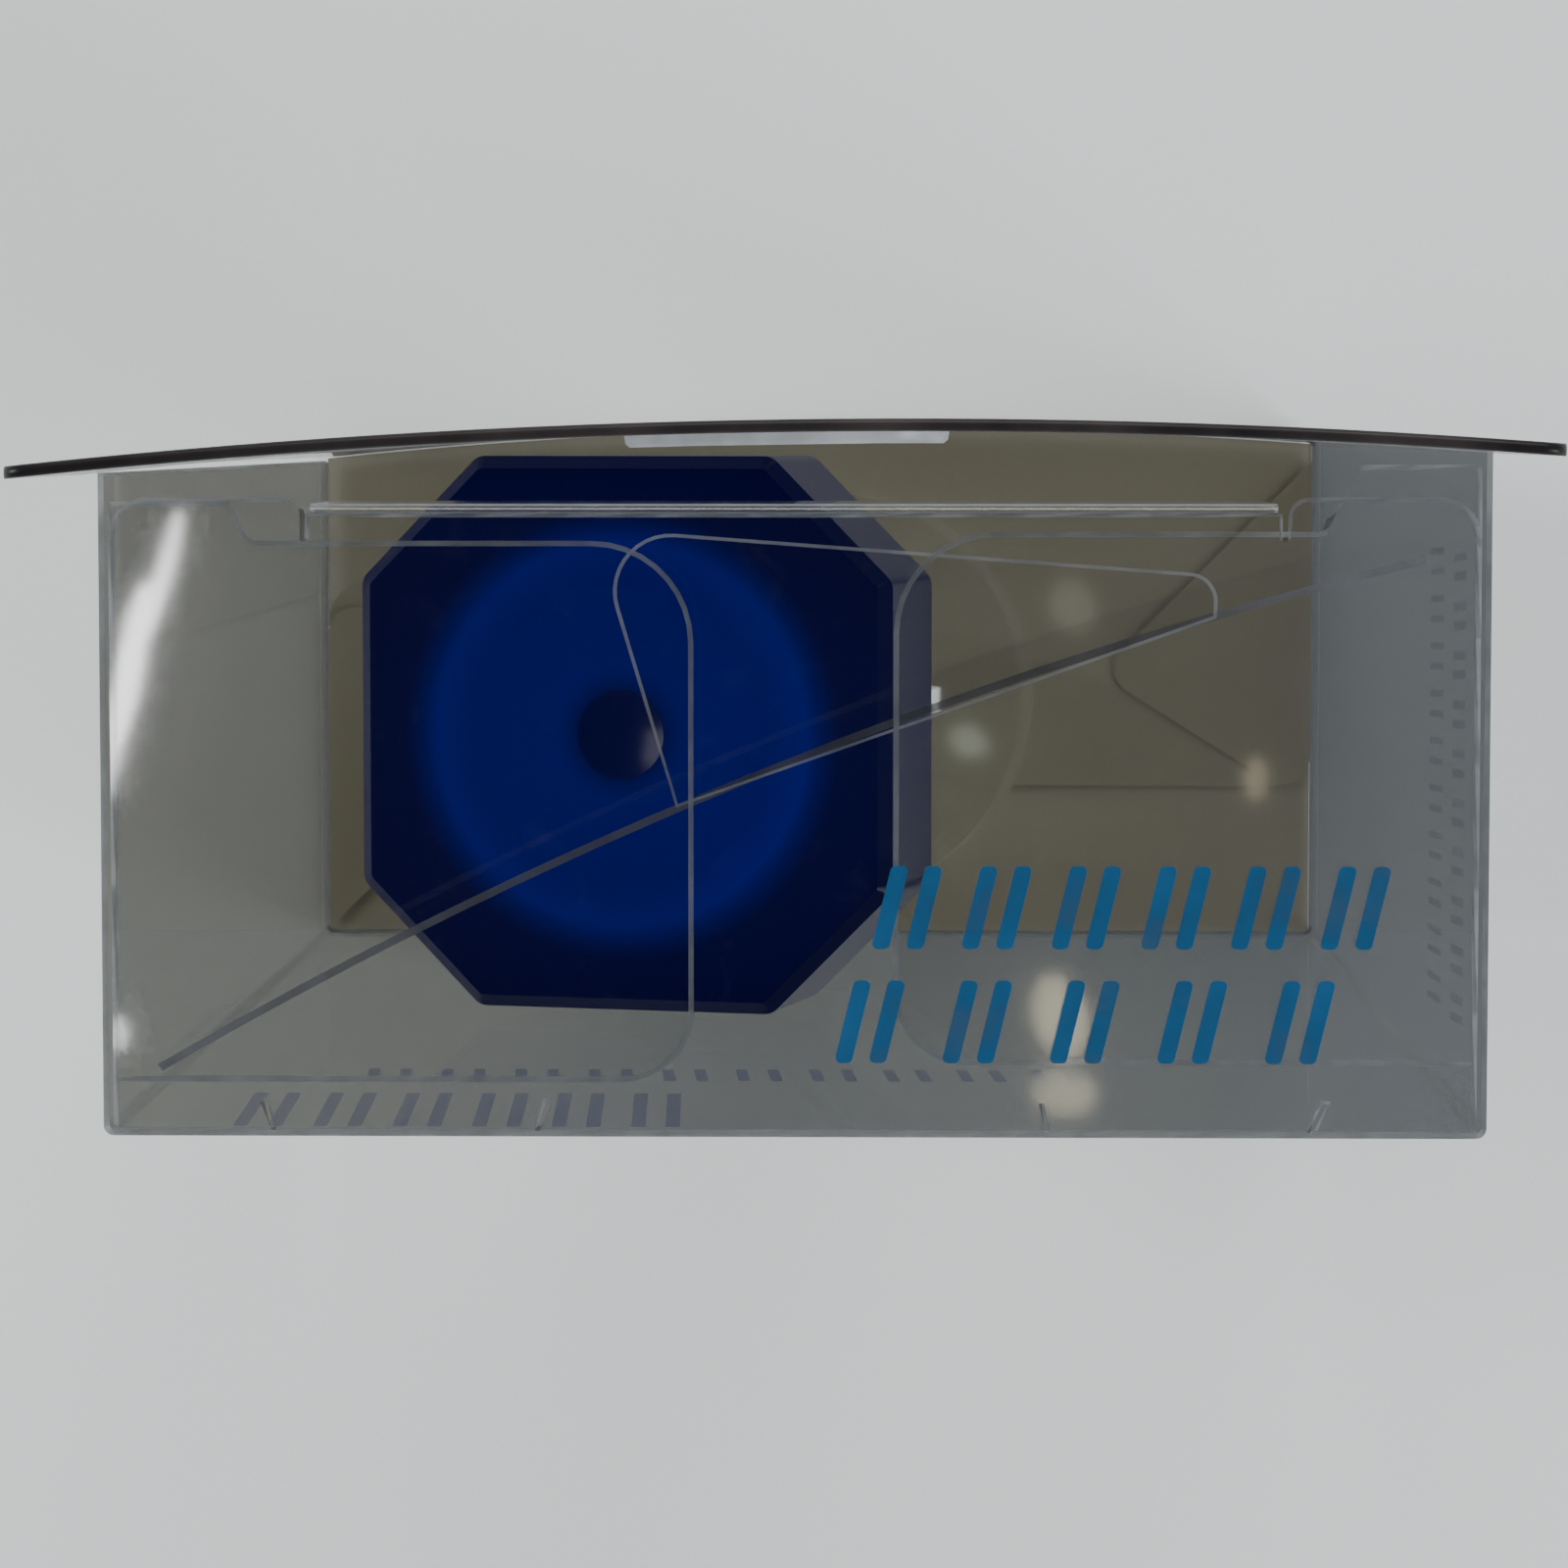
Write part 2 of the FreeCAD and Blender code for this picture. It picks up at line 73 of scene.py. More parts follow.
table_mesh = bpy.data.meshes.new("table")
table_mesh.from_pydata([(-3, -3, 0), (3, -3, 0), (3, 3, 0), (-3, 3, 0)], [], [(0, 1, 2, 3)])
table = bpy.data.objects.new("table", table_mesh)
bpy.context.collection.objects.link(table)
table.location.z = cad_low.z
table_finish = bpy.data.materials.new("pale table")
table_finish.use_nodes = True
table_shader = table_finish.node_tree.nodes["Principled BSDF"]
table_shader.inputs["Base Color"].default_value = (0.70, 0.72, 0.73, 1)
table_shader.inputs["Roughness"].default_value = 0.75
table_shader.inputs["Specular IOR Level"].default_value = 0.2
table_mesh.materials.append(table_finish)

room = bpy.data.worlds.new("room")
bpy.context.scene.world = room
room.use_nodes = True
room_nodes, room_links = room.node_tree.nodes, room.node_tree.links
room_direction = room_nodes.new("ShaderNodeTexCoord")
dark_middle = room_nodes.new("ShaderNodeVectorMath")
dark_middle.operation = "DOT_PRODUCT"
overhead = Vector((-0.069, -0.060, 0.996)).normalized()
dark_middle.inputs[1].default_value = overhead
room_ramp = room_nodes.new("ShaderNodeValToRGB")
room_ramp.color_ramp.interpolation = "EASE"
room_tones = room_ramp.color_ramp.elements
room_tones[0].color = (0.62, 0.64, 0.66, 1)
room_tones[1].position = 0.997
room_tones[1].color = (0.004, 0.004, 0.005, 1)
room_tones.new(0.60).color = (0.55, 0.57, 0.58, 1)
room_tones.new(0.983).color = (0.36, 0.37, 0.38, 1)
room_links.new(room_direction.outputs["Generated"], dark_middle.inputs[0])
room_links.new(dark_middle.outputs["Value"], room_ramp.inputs["Fac"])
room_links.new(room_ramp.outputs["Color"], room_nodes["Background"].inputs["Color"])
room_nodes["Background"].inputs["Strength"].default_value = 1.0


def soft_light(name, place, size, aim, watts, colour, shape="RECTANGLE", turn=0.0):
    """An area light at place that faces aim. Places and sizes are in metres, turn in degrees."""
    lamp = bpy.data.lights.new(name, "AREA")
    lamp.shape = shape
    lamp.size, lamp.size_y = size
    lamp.energy = watts
    lamp.color = colour
    holder = bpy.data.objects.new(name, lamp)
    bpy.context.collection.objects.link(holder)
    holder.location = place
    facing = (Vector(aim) - Vector(place)).to_track_quat("-Z", "Y").to_matrix()
    holder.rotation_euler = (facing @ Matrix.Rotation(math.radians(turn), 3, "Z")).to_euler()


soft_light("left softbox", (-0.98, 0.12, 0.50), (0.50, 0.50), (0, 0, 0.05), 11.0, (1.0, 0.99, 0.97))
soft_light("right softbox", (0.85, -0.50, 0.60), (0.50, 0.50), (0, 0, 0.05), 10.0, (0.96, 0.98, 1.0))
soft_light("back softbox", (0.10, 0.95, 0.60), (0.60, 0.40), (0, 0, 0.05), 6.0, (1.0, 0.98, 0.94))

LAMP_HEIGHT = 0.917         # metres above the table
for name, x, y, size, turn, watts, colour in (
        ("strip light far half", -0.1509, -0.0100, (0.0032, 0.030), -13, 0.0065, (1.0, 1.0, 1.0)),
        ("strip light near half", -0.1590, -0.0360, (0.0062, 0.050), -10, 0.022, (1.0, 1.0, 1.0)),
        ("strip light end", -0.1611, -0.1112, (0.0030, 0.0070), 0, 0.0011, (1.0, 1.0, 1.0)),
        ("warm lamp", 0.0435, -0.1070, (0.0105, 0.0190), 8, 0.0024, (1.0, 0.90, 0.62)),
        ("warm lamp edge", 0.0440, -0.1235, (0.0130, 0.0085), 0, 0.0019, (1.0, 0.90, 0.62)),
        ("small green lamp", 0.0246, -0.0474, (0.0085, 0.0070), 20, 0.00027, (0.90, 1.0, 0.86)),
        ("small warm lamp", 0.0855, -0.0569, (0.0055, 0.0090), 0, 0.00032, (1.0, 0.88, 0.62)),
        ("far warm lamp", 0.0460, -0.0190, (0.0110, 0.0120), 0, 0.00024, (1.0, 0.95, 0.80))):
    soft_light(name, (x, y, LAMP_HEIGHT), size, (x, y, 0), watts, colour, "ELLIPSE", turn)

# ---- Carton sleeve ------------------------------------------------------------------------------
# Front, left, right and back walls of the carton, with the header above the back: one 0.3 mm sheet
# of clear plastic, die-cut flat and creased at the corners. The back bows outward a little.
SHEET = 0.3                 # thickness, and every size from here on is in mm
HALF_WIDTH = 37.5
FRONT = -19.4
WALL_TOP, HEADER_TOP = 110.0, 140.0
BOW, BOW_MIDDLE, BACK_AT_MIDDLE = 411.0, 6.0, 19.4
CORNER = 0.55               # radius of the upright creases


def bowed_back(x):
    """Outside of the bowed back wall, in mm, at x."""
    return BACK_AT_MIDDLE - BOW + math.sqrt(BOW**2 - (x - BOW_MIDDLE)**2)


BACK_LEFT, BACK_RIGHT = bowed_back(-HALF_WIDTH), bowed_back(HALF_WIDTH)


def steps(low, high, pitch):
    """Even steps from low to high, none longer than pitch."""
    count = max(1, math.ceil((high - low) / pitch))
    return [low + (high - low) * i / count for i in range(count + 1)]


def rounded_loop(corners):
    """Points round an outline of (u, v, radius) corners."""
    points = []
    for i, (u, v, radius) in enumerate(corners):
        here = Vector((u, v))
        before = (Vector(corners[i - 1][:2]) - here).normalized()
        after = (Vector(corners[(i + 1) % len(corners)][:2]) - here).normalized()
        if radius <= 0:
            points.append(here)
            continue
        half = math.acos(max(-1.0, min(1.0, before.dot(after)))) / 2
        centre = here + (before + after).normalized() * (radius / math.sin(half))
        start = here + before * (radius / math.tan(half)) - centre
        end = here + after * (radius / math.tan(half)) - centre
        turn = start.angle_signed(end)
        count = max(3, math.ceil(abs(turn) / math.radians(11)))
        for k in range(count + 1):
            a = -turn * k / count
            points.append(centre + Vector((start.x * math.cos(a) - start.y * math.sin(a),
                                           start.x * math.sin(a) + start.y * math.cos(a))))
    return [(p.x, p.y) for p in points]


def link_piece(name, bm, *finishes):
    """The bmesh as a piece in the scene, with its finishes in order."""
    mesh = bpy.data.meshes.new(name)
    bm.to_mesh(mesh)
    bm.free()
    for finish in finishes:
        mesh.materials.append(finish)
    piece = bpy.data.objects.new(name, mesh)
    bpy.context.collection.objects.link(piece)
    return piece


def cut_sheet(name, outlines, place, cuts, finishes, crease=None, burr=0.20, dull=None):
    """A die-cut sheet. outlines are flat loops, the first outside and the rest holes. place(u, v, w) gives
    the point in mm that lies w above the face. cuts are the u and v at which the face is divided. The cut
    edge slants in under the face by burr. finishes are the face's, the cut edge's and the crease's:
    dull(u, v) says where an edge takes the face's, and crease(u, v) where the face takes the crease's."""
    bm = bmesh.new()
    for loop in outlines:
        ring = [bm.verts.new((u, v, 0)) for u, v in loop]
        for i, vert in enumerate(ring):
            bm.edges.new((ring[i - 1], vert))
    bmesh.ops.triangle_fill(bm, use_beauty=True, use_dissolve=True, edges=bm.edges[:])
    for axis in (0, 1):
        for at in cuts[axis]:
            facing = Vector((1 - axis, axis, 0))
            bmesh.ops.bisect_plane(bm, geom=bm.verts[:] + bm.edges[:] + bm.faces[:], plane_co=facing * at,
                                   plane_no=facing, dist=1e-5)
    bm.normal_update()
    for face in bm.faces:
        if face.normal.z < 0:
            face.normal_flip()
        if crease is not None:
            middle = face.calc_center_median()
            face.material_index = 2 if crease(middle.x, middle.y) else 0
    inward = {}
    rim = [e for e in bm.edges if len(e.link_faces) == 1]
    for edge in rim:
        a, b = edge.verts
        along = (b.co - a.co).normalized()
        side = Vector((-along.y, along.x, 0))
        if (edge.link_faces[0].calc_center_median() - a.co).dot(side) < 0:
            side.negate()
        for vert in edge.verts:
            inward.setdefault(vert, []).append(side)
    under = {}
    for vert, sides in inward.items():
        push = sum(sides, Vector()).normalized()
        under[vert] = bm.verts.new(vert.co + push * burr + Vector((0, 0, -SHEET)))
    for edge in rim:
        a, b = edge.verts
        if edge.link_loops[0].vert is not a:
            a, b = b, a
        strip = bm.faces.new((a, b, under[b], under[a]))
        strip.material_index = 0 if dull is not None and dull(*((a.co + b.co) / 2).xy) else 1
    facing = []
    nearby = 0.02
    for vert in bm.verts:
        u, v, w = vert.co
        along_u = Vector(place(u + nearby, v, w)) - Vector(place(u - nearby, v, w))
        along_v = Vector(place(u, v + nearby, w)) - Vector(place(u, v - nearby, w))
        facing.append(along_u.cross(along_v).normalized())
        vert.co = Vector(place(u, v, w)) * mm
    piece = link_piece(name, bm, *finishes)
    piece.data.shade_smooth()
    piece.data.normals_split_custom_set_from_vertices(facing)
    return piece


def node(tree, kind, **settings):
    """A shader node. in_NAME or in_NUMBER sets an input, and any other word a setting of the node."""
    made = tree.nodes.new(kind)
    for key, value in settings.items():
        if key.startswith("in_"):
            socket = int(key[3:]) if key[3:].isdigit() else key[3:].replace("_", " ")
            made.inputs[socket].default_value = value
        else:
            setattr(made, key, value)
    return made


def two_tones(tree, source, low_tone, high_tone, low, high):
    """A colour that runs from low_tone to high_tone as source runs from low to high."""
    ramp = node(tree, "ShaderNodeValToRGB")
    first, last = ramp.color_ramp.elements
    first.position, last.position = low, high
    first.color, last.color = (*low_tone, 1), (*high_tone, 1)
    tree.links.new(source, ramp.inputs["Fac"])
    return ramp.outputs["Color"]


def clear_plastic(name, tint, haze, scuff, roughness=0.035, mirror=1.0, aslant_painted_shade=None,
                  haze_and_shade_colour=(0.62, 0.65, 0.66)):
    """Thin clear sheet: tinted see-through, faintly hazy with scuffs in it, and glossy up to a share mirror.
    Its low-angle tint pair, one for the left side and one for the right, is painted shade."""
    finish = bpy.data.materials.new(name)
    finish.use_nodes = True
    tree = finish.node_tree
    tree.nodes.remove(tree.nodes["Principled BSDF"])
    output = tree.nodes["Material Output"]
    where = node(tree, "ShaderNodeTexCoord").outputs["Object"]
    waves = node(tree, "ShaderNodeTexNoise", in_Scale=38.0, in_Detail=2.0, in_Roughness=0.45)
    tree.links.new(where, waves.inputs["Vector"])
    bump = node(tree, "ShaderNodeBump", in_Strength=1.0, in_Distance=0.00005)
    tree.links.new(waves.outputs["Fac"], bump.inputs["Height"])
    clear = node(tree, "ShaderNodeBsdfTransparent")
    clear.inputs["Color"].default_value = (*tint, 1)
    if aslant_painted_shade is not None:
        sides = node(tree, "ShaderNodeSeparateXYZ")
        tree.links.new(where, sides.inputs["Vector"])
        across_box = node(tree, "ShaderNodeMapRange", in_1=-HALF_WIDTH * mm, in_2=HALF_WIDTH * mm)
        tree.links.new(sides.outputs["X"], across_box.inputs["Value"])
        painted_side_shade = node(tree, "ShaderNodeMix", data_type="RGBA")
        painted_side_shade.inputs[6].default_value = (*aslant_painted_shade[0], 1)
        painted_side_shade.inputs[7].default_value = (*aslant_painted_shade[1], 1)
        tree.links.new(across_box.outputs["Result"], painted_side_shade.inputs[0])
        facing = node(tree, "ShaderNodeLayerWeight", in_Blend=0.5)
        slant = node(tree, "ShaderNodeMapRange", in_1=0.45, in_2=0.84, interpolation_type="SMOOTHSTEP")
        tree.links.new(facing.outputs["Facing"], slant.inputs["Value"])
        tinted = node(tree, "ShaderNodeMix", data_type="RGBA")
        tinted.inputs[6].default_value = (*tint, 1)
        tree.links.new(slant.outputs["Result"], tinted.inputs[0])
        tree.links.new(painted_side_shade.outputs[2], tinted.inputs[7])
        tree.links.new(tinted.outputs[2], clear.inputs["Color"])
    milk = node(tree, "ShaderNodeBsdfDiffuse")
    milk.inputs["Color"].default_value = (*haze_and_shade_colour, 1)
    gloss = node(tree, "ShaderNodeBsdfGlossy")
    gloss.inputs["Color"].default_value = (1, 1, 1, 1)
    gloss.inputs["Roughness"].default_value = roughness
    tree.links.new(bump.outputs["Normal"], gloss.inputs["Normal"])
    marks = node(tree, "ShaderNodeTexNoise", in_Scale=210.0, in_Detail=5.0, in_Roughness=0.72,
                 in_Distortion=1.4)
    tree.links.new(where, marks.inputs["Vector"])
    amount = node(tree, "ShaderNodeMapRange", in_1=0.56, in_2=0.80, in_3=haze, in_4=haze + scuff)
    tree.links.new(marks.outputs["Fac"], amount.inputs["Value"])
    body = node(tree, "ShaderNodeMixShader")
    tree.links.new(amount.outputs["Result"], body.inputs["Fac"])
    tree.links.new(clear.outputs["BSDF"], body.inputs[1])
    tree.links.new(milk.outputs["BSDF"], body.inputs[2])
    fresnel = node(tree, "ShaderNodeFresnel", in_IOR=1.5)
    most = node(tree, "ShaderNodeMath", operation="MINIMUM")
    most.inputs[1].default_value = mirror
    tree.links.new(fresnel.outputs["Fac"], most.inputs[0])
    face = node(tree, "ShaderNodeMixShader")
    tree.links.new(most.outputs["Value"], face.inputs["Fac"])
    tree.links.new(body.outputs["Shader"], face.inputs[1])
    tree.links.new(gloss.outputs["BSDF"], face.inputs[2])
    tree.links.new(face.outputs["Shader"], output.inputs["Surface"])
    return finish


def cut_edge(name, colour, strength):
    """The bare cut edge of clear sheet, which gathers light and looks pale."""
    finish = bpy.data.materials.new(name)
    finish.use_nodes = True
    tree = finish.node_tree
    shader = tree.nodes["Principled BSDF"]
    shader.inputs["Roughness"].default_value = 0.38
    shader.inputs["Alpha"].default_value = strength
    where = node(tree, "ShaderNodeTexCoord").outputs["Object"]
    grain = node(tree, "ShaderNodeTexNoise", in_Scale=420.0, in_Detail=2.0)
    tree.links.new(where, grain.inputs["Vector"])
    grained = two_tones(tree, grain.outputs["Fac"], [c * 0.7 for c in colour], colour, 0.35, 0.65)
    tree.links.new(grained, shader.inputs["Base Color"])
    return finish


# Painted shade: seen at a low angle the walls go dark like the shaded inside of the carton, lighter at left.
wall_sheet = clear_plastic("clear wall sheet", (0.90, 0.90, 0.89), haze=0.008, scuff=0.02, mirror=0.08,
                           aslant_painted_shade=((0.200, 0.200, 0.182), (0.150, 0.160, 0.168)))
bright_edge = cut_edge("bright cut edge", (0.50, 0.53, 0.56), 0.60)
# The upright crease's low-angle pair is painted shade too, lighter at the left than the right.
corner_crease = clear_plastic("upright crease", (0.38, 0.38, 0.39), haze=0.065, scuff=0.06, roughness=0.15,
                              mirror=0.12, aslant_painted_shade=((0.16, 0.16, 0.15), (0.13, 0.135, 0.14)))

quarter = CORNER * math.pi / 2
back_from = math.asin((HALF_WIDTH - CORNER - BOW_MIDDLE) / BOW)
back_to = math.asin((-HALF_WIDTH + CORNER - BOW_MIDDLE) / BOW)
edges_u = [0.0]
for run in (BACK_LEFT - FRONT - 2 * CORNER, quarter, 2 * (HALF_WIDTH - CORNER), quarter,
            BACK_RIGHT - FRONT - 2 * CORNER, quarter, BOW * (back_from - back_to)):
    edges_u.append(edges_u[-1] + run)


def sleeve(u, v, w):
    """Round the walls from the back left corner: left, front, right, back, w outside the outer face."""
    left, c1, front, c2, right, c3, back = edges_u[1:]
    x0, y0 = HALF_WIDTH, FRONT
    if u <= left:
        return (-x0 - w, BACK_LEFT - CORNER - u, v)
    if u <= c1:
        a = math.pi + (u - left) / CORNER
        return (-x0 + CORNER + (CORNER + w) * math.cos(a), y0 + CORNER + (CORNER + w) * math.sin(a), v)
    if u <= front:
        return (-x0 + CORNER + u - c1, y0 - w, v)
    if u <= c2:
        a = -math.pi / 2 + (u - front) / CORNER
        return (x0 - CORNER + (CORNER + w) * math.cos(a), y0 + CORNER + (CORNER + w) * math.sin(a), v)
    if u <= right:
        return (x0 + w, y0 + CORNER + u - c2, v)
    if u <= c3:
        a = (u - right) / CORNER
        return (x0 - CORNER + (CORNER + w) * math.cos(a),
                BACK_RIGHT - CORNER + (CORNER + w) * math.sin(a), v)
    a = back_from - (u - c3) / BOW
    return (BOW_MIDDLE + (BOW + w) * math.sin(a), BACK_AT_MIDDLE - BOW + (BOW + w) * math.cos(a), v)


back_start, back_end = edges_u[6], edges_u[7]
back_centre = back_start + BOW * (back_from + math.asin(BOW_MIDDLE / BOW))
SLOT_HALF, SLOT_R, SLOT_HEIGHT = 7.5, 3.0, 129.0
HEADER_CORNER = 1.2


def slot_points(grow):
    r = SLOT_R + grow
    run = SLOT_HALF - SLOT_R
    points = [(run + r * math.cos(a), SLOT_HEIGHT + r * math.sin(a))
              for a in (math.radians(-90 + 10 * k) for k in range(19))]
    return points + [(-p[0], 2 * SLOT_HEIGHT - p[1]) for p in points]


wall_outline = rounded_loop([
    (0, 0, 0), (back_end, 0, 0), (back_end, HEADER_TOP - SHEET, HEADER_CORNER),
    (back_start, HEADER_TOP - SHEET, HEADER_CORNER),
    (back_start, WALL_TOP, 0), (0, WALL_TOP, 0)])
corner_cuts = [edges_u[k] + quarter * i / 5 for k in (1, 3, 5) for i in range(6)]
sleeve_sheet = cut_sheet(
    "carton_walls", [wall_outline, [(back_centre + u, v) for u, v in slot_points(0)]], sleeve,
    (corner_cuts + steps(edges_u[6], edges_u[7], 2.5)[1:-1] + steps(0, edges_u[1], 12)[1:-1],
     steps(0, HEADER_TOP, 14)[1:-1]),
    [wall_sheet, bright_edge, corner_crease], dull=lambda u, v: v < 1.0,
    crease=lambda u, v: v < WALL_TOP and any(edges_u[k] < u < edges_u[k + 1] for k in (1, 3, 5)))
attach(sleeve_sheet, "carton")
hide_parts("front_panel", "left_panel", "right_panel", "back_panel")

# ---- Header's front layer -----------------------------------------------------------------------
# The header is doubled: the sheet folds over its top edge and is bonded to its own front. The
# punch that cuts the hanging slot leaves a frosted, slightly raised rim round it.
header_sheet = clear_plastic("clear header layer", (0.88, 0.875, 0.86), haze=0.012, scuff=0.03, mirror=0.15)
frosted_rim = cut_edge("frosted slot rim", (0.40, 0.42, 0.45), 0.70)
# Painted shade: the clear fold over the header's top is given a near-black finish where it looks dark from
# above.
header_edge_painted_shade = bpy.data.materials.new("header edge painted shade")
header_edge_painted_shade.use_nodes = True
header_edge_tree = header_edge_painted_shade.node_tree
header_edge_shader = header_edge_tree.nodes["Principled BSDF"]
header_edge_shader.inputs["Roughness"].default_value = 0.35
header_edge_shader.inputs["Specular IOR Level"].default_value = 0.15
edge_noise = node(header_edge_tree, "ShaderNodeTexNoise", in_Scale=160.0, in_Detail=3.0)
edge_place = node(header_edge_tree, "ShaderNodeTexCoord").outputs["Object"]
painted_shade_tones = two_tones(header_edge_tree, edge_noise.outputs["Fac"], (0.006, 0.005, 0.006),
                       (0.030, 0.024, 0.024), 0.35, 0.72)
header_edge_tree.links.new(edge_place, edge_noise.inputs["Vector"])
header_edge_tree.links.new(painted_shade_tones, header_edge_shader.inputs["Base Color"])

LINER_FOOT = 116.0


def header_front(u, v, w):
    """On the header's front layer, w in front of it."""
    depth = bowed_back(u) - 2 * SHEET
    return (u, depth - w, v)


liner_outline = rounded_loop([(-HALF_WIDTH + 0.1, LINER_FOOT, 0), (HALF_WIDTH - 0.1, LINER_FOOT, 0),
                              (HALF_WIDTH - 0.1, HEADER_TOP - SHEET, HEADER_CORNER),
                              (-HALF_WIDTH + 0.1, HEADER_TOP - SHEET, HEADER_CORNER)])
header_layer = cut_sheet("header_front_layer", [liner_outline, slot_points(0.55)], header_front,
                         (steps(-HALF_WIDTH, HALF_WIDTH, 2.5)[1:-1], [HEADER_TOP - 4]),
                         [header_sheet, bright_edge])
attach(header_layer, "carton")
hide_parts("header_liner")

rim_profile = ((0.0, -0.30), (0.0, 0.35), (0.12, 0.55), (0.35, 0.60), (0.55, 0.42), (0.62, 0.0))
rim_bm = bmesh.new()
rim_rings = []
for grow, front in rim_profile:
    rim_rings.append([rim_bm.verts.new(Vector(header_front(u, v, front)) * mm)
                      for u, v in slot_points(grow)])
for inner_ring, outer_ring in zip(rim_rings, rim_rings[1:]):
    for i in range(len(inner_ring)):
        rim_bm.faces.new((inner_ring[i - 1], inner_ring[i], outer_ring[i], outer_ring[i - 1]))
bmesh.ops.recalc_face_normals(rim_bm, faces=rim_bm.faces[:])
slot_rim = link_piece("hang_slot_rim", rim_bm, frosted_rim)
slot_rim.data.shade_smooth()
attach(slot_rim, "carton")

fold_bm = bmesh.new()
fold_rows = []
corner_run = [(HALF_WIDTH - HEADER_CORNER + HEADER_CORNER * math.sin(a), HEADER_CORNER * (1 - math.cos(a)))
              for a in (math.radians(t) for t in (18, 36, 54, 70, 84))]
fold_run = ([(-x, drop) for x, drop in reversed(corner_run)]
            + [(x, 0.0) for x in steps(-HALF_WIDTH + HEADER_CORNER, HALF_WIDTH - HEADER_CORNER, 2.5)]
            + corner_run)
for x, drop in fold_run:
    y_mid = bowed_back(x) - SHEET
    fold_rows.append([fold_bm.verts.new(Vector((x, y_mid + SHEET * 1.02 * math.cos(a),
                                                HEADER_TOP - SHEET - drop + SHEET * math.sin(a))) * mm)
                      for a in (math.radians(180 * k / 8) for k in range(9))])
for row, following in zip(fold_rows, fold_rows[1:]):
    for k in range(8):
        fold_bm.faces.new((row[k], row[k + 1], following[k + 1], following[k]))
bmesh.ops.recalc_face_normals(fold_bm, faces=fold_bm.faces[:])
header_fold = link_piece("header_top_fold", fold_bm, header_edge_painted_shade)
header_fold.data.shade_smooth()
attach(header_fold, "carton")

# ---- Glue seam ----------------------------------------------------------------------------------
# The strip that joins the sleeve into a tube: the back wall's edge, creased forward and glued
# inside the left wall with a clear line of glue that shows as a milky band.
glue_band = clear_plastic("glued seam", (0.96, 0.96, 0.95), haze=0.015, scuff=0.06, roughness=0.12,
                          mirror=0.05)
seam_back, seam_low, seam_high = BACK_LEFT - 2 * SHEET, 1.5, 106.0
seam = cut_sheet("glue_seam", [rounded_loop([(seam_back - 10.0, seam_low, 3.0), (seam_back, seam_low, 0),
                                             (seam_back, seam_high, 0), (seam_back - 10.0, seam_high, 3.0)])],
                 lambda u, v, w: (-HALF_WIDTH + 2 * SHEET - 0.02 + w, u, v),
                 ([], steps(seam_low, seam_high, 15)[1:-1]), [glue_band, glue_band])
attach(seam, "carton")
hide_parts("glue_tab")

# ---- Auto-lock base -----------------------------------------------------------------------------
# Two crossing panels that lock when the flat carton is popped open, and two corner flaps glued to
# them. All are cut from the carton's clear sheet and carry the case's weight. Down here the sheet's
# dark olive haze, darker tint and dark cut edges are painted shade.
# Painted shade: the dark olive haze and tint stand for the shade inside the carton.
base_sheet_painted_shade = clear_plastic("base sheet painted shade", (0.72, 0.71, 0.66), haze=0.80, scuff=0.10, roughness=0.12,
                           mirror=0.06, haze_and_shade_colour=(0.112, 0.103, 0.075))
base_edge_painted_shade = cut_edge("base edge painted shade", (0.16, 0.16, 0.14), 0.20)
inner_x, base_rear = HALF_WIDTH - SHEET - 0.05, BACK_LEFT - SHEET - 0.1
base_specs = [
    ("base_front", "base_front_panel", SHEET,
     [(-inner_x, FRONT + SHEET, 0), (inner_x, FRONT + SHEET, 0), (inner_x, -4.5, 0), (12.0, 2.5, 3.0),
      (-12.0, 7.5, 4.0), (-inner_x, 7.5, 3.0)]),
    ("base_back", "base_back_panel", 2 * SHEET,
     [(x, bowed_back(x) - SHEET - 0.1, 0) for x in reversed(steps(-inner_x, inner_x, 3))]
     + [(-inner_x, 4.0, 0), (-12.0, -3.0, 3.0), (12.0, -8.0, 4.0), (inner_x, -8.0, 3.0)]),
    ("base_left", "base_left_flap", 3 * SHEET,
     [(-inner_x, FRONT + SHEET + 0.2, 0), (-inner_x + 16, FRONT + SHEET + 16.2, 2.0), (-inner_x, 7.1, 2.0)]),
    ("base_right", "base_right_flap", 3 * SHEET,
     [(inner_x, base_rear - 0.2, 0), (inner_x - 16, base_rear - 16.2, 2.0),
      (inner_x, base_rear - 26.2, 2.0)])]
for name, cad_node, top, corners in base_specs:
    flap = cut_sheet(name, [rounded_loop(corners)], lambda u, v, w, top=top: (u, v, top + w),
                     (steps(-inner_x, inner_x, 12)[1:-1], []), [base_sheet_painted_shade, base_edge_painted_shade])
    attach(flap, "carton")
    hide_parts(cad_node)


# ---- Vial ---------------------------------------------------------------------------------------
# The lens case's clear cylinder, injection moulded in a tough clear plastic. It has a screw thread
# round its neck and holds the cleaning solution.
LEAN = math.radians(14.5)
case_foot = Vector((1.7209, -0.7, 4.7557)) * mm


def case_coordinates(tree):
    """Position in the case's own frame, in mm: Z along the case from its foot."""
    where = node(tree, "ShaderNodeTexCoord").outputs["Object"]
    shift = node(tree, "ShaderNodeVectorMath", operation="SUBTRACT")
    shift.inputs[1].default_value = case_foot
    turn = node(tree, "ShaderNodeVectorRotate", rotation_type="Y_AXIS")
    turn.inputs["Angle"].default_value = LEAN
    scale = node(tree, "ShaderNodeVectorMath", operation="SCALE")
    scale.inputs["Scale"].default_value = 1 / mm
    tree.links.new(where, shift.inputs[0])
    tree.links.new(shift.outputs["Vector"], turn.inputs["Vector"])
    tree.links.new(turn.outputs["Vector"], scale.inputs[0])
    return scale.outputs["Vector"]


